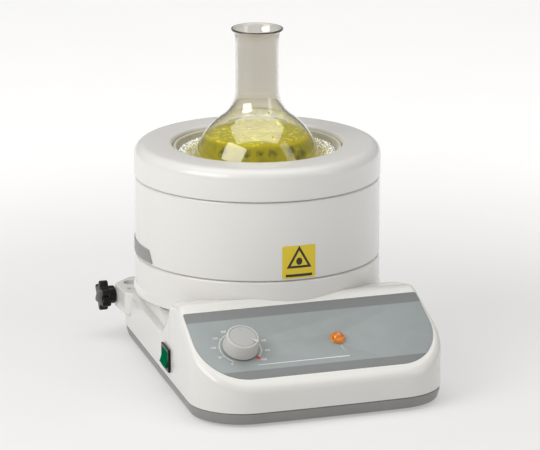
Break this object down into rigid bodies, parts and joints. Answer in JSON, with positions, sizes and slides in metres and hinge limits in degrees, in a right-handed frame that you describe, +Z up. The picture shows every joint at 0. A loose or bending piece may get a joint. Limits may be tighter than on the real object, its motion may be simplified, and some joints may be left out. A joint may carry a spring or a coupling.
{
  "type": "laboratory heating mantle",
  "caption": "Laboratory heating mantle with a sloping control console, a rear rod clamp and a round-bottom flask standing in its glass-cloth nest.",
  "frame": {"origin": "where the drum's axis meets the bench top", "axes": "+Z up along the drum's axis, -Y towards the control panel, +X to the right seen from the front"},
  "size_m": [0.2106, 0.3124, 0.2807],
  "materials": {
    "white_abs": "glossy warm-white moulded ABS",
    "grey_abs": "mid-grey moulded ABS with a fine grain",
    "panel_grey": "satin blue-grey printed polyester overlay",
    "knob_white": "satin white moulded knob",
    "cap_grey": "light grey satin cap",
    "black_plastic": "black moulded nylon, half gloss",
    "green_lens": "clear green lit rocker",
    "amber_lens": "clear amber faceted lens",
    "cream_collar": "cream heat-resistant collar",
    "glass_cloth": "woven glass cloth, sparkling",
    "glass_wool": "matted glass wool",
    "aluminium": "plain spun sheet",
    "steel": "zinc-plated steel",
    "brass": "turned brass",
    "rubber": "black rubber",
    "circuit_green": "green circuit board with its parts",
    "yellow_label": "printed yellow vinyl",
    "badge_grey": "blank satin grey plate",
    "borosilicate": "clear borosilicate glass",
    "yellow_liquid": "clear yellow liquid"
  },
  "bodies": {
    "mantle": {"base_cover": "white_abs", "base_tray": "grey_abs", "caution_label": "yellow_label", "clamp_nut": "brass", "control_board": "circuit_green", "dial_potentiometer": "steel", "drum_lower_ring": "white_abs", "drum_screw_1": "steel", "drum_screw_2": "steel", "drum_screw_3": "steel", "drum_shell": "white_abs", "drum_top_ring": "white_abs", "foot_front_left": "rubber", "foot_front_right": "rubber", "foot_rear_left": "rubber", "foot_rear_right": "rubber", "fuse_cap": "black_plastic", "fuse_holder": "black_plastic", "heat_shield": "aluminium", "heat_sink": "aluminium", "heater_lead_left": "glass_cloth", "heater_lead_right": "glass_cloth", "heating_nest": "glass_cloth", "mains_inlet": "black_plastic", "nest_collar": "cream_collar", "nest_insulation": "glass_wool", "panel_overlay": "panel_grey", "pilot_lamp_body": "black_plastic", "pilot_lamp_lens": "amber_lens", "rod_clamp": "white_abs", "side_badge": "badge_grey", "switch_bezel": "black_plastic", "terminal_block": "black_plastic", "thermal_cutout": "steel", "tray_screw_front_left": "steel", "tray_screw_front_right": "steel", "tray_screw_rear_left": "steel", "tray_screw_rear_right": "steel"},
    "dial": {"dial_knob": "knob_white", "dial_knob_cap": "cap_grey", "dial_shaft": "brass"},
    "rocker": {"switch_rocker": "green_lens"},
    "clamp_pad": {"clamp_pad": "brass"},
    "clamp_knob": {"clamp_screw": "steel", "clamp_star_knob": "black_plastic"},
    "flask": {"flask": "borosilicate", "flask_liquid": "yellow_liquid"}
  },
  "joints": [
    {"name": "dial_turn", "type": "hinge", "parent": "mantle", "child": "dial", "pos_m": [-0.0639, -0.1397, 0.05464], "axis": [0, -0.4991, 0.8665], "range_deg": [-12, 270]},
    {"name": "rocker_tilt", "type": "hinge", "parent": "mantle", "child": "rocker", "pos_m": [-0.0983, -0.0595, 0.028], "axis": [-0.0958, -0.9954, 0], "range_deg": [0, 18]},
    {"name": "clamp_screw_travel", "type": "slide", "parent": "mantle", "child": "clamp_pad", "axis": [-1, 0, 0], "range_m": [0, 0.0041]},
    {"name": "clamp_knob_turn", "type": "hinge", "parent": "clamp_pad", "child": "clamp_knob", "pos_m": [-0.11, 0.111, 0.035], "axis": [-1, 0, 0], "range_deg": [0, 1440]},
    {"name": "flask_lift", "type": "slide", "parent": "mantle", "child": "flask", "axis": [0, 0, 1], "range_m": [0, 0.2]}
  ],
  "couplings": [
    {"joint": "clamp_screw_travel", "follows": "clamp_knob_turn", "m_per_rad": 0.00015915}
  ]
}
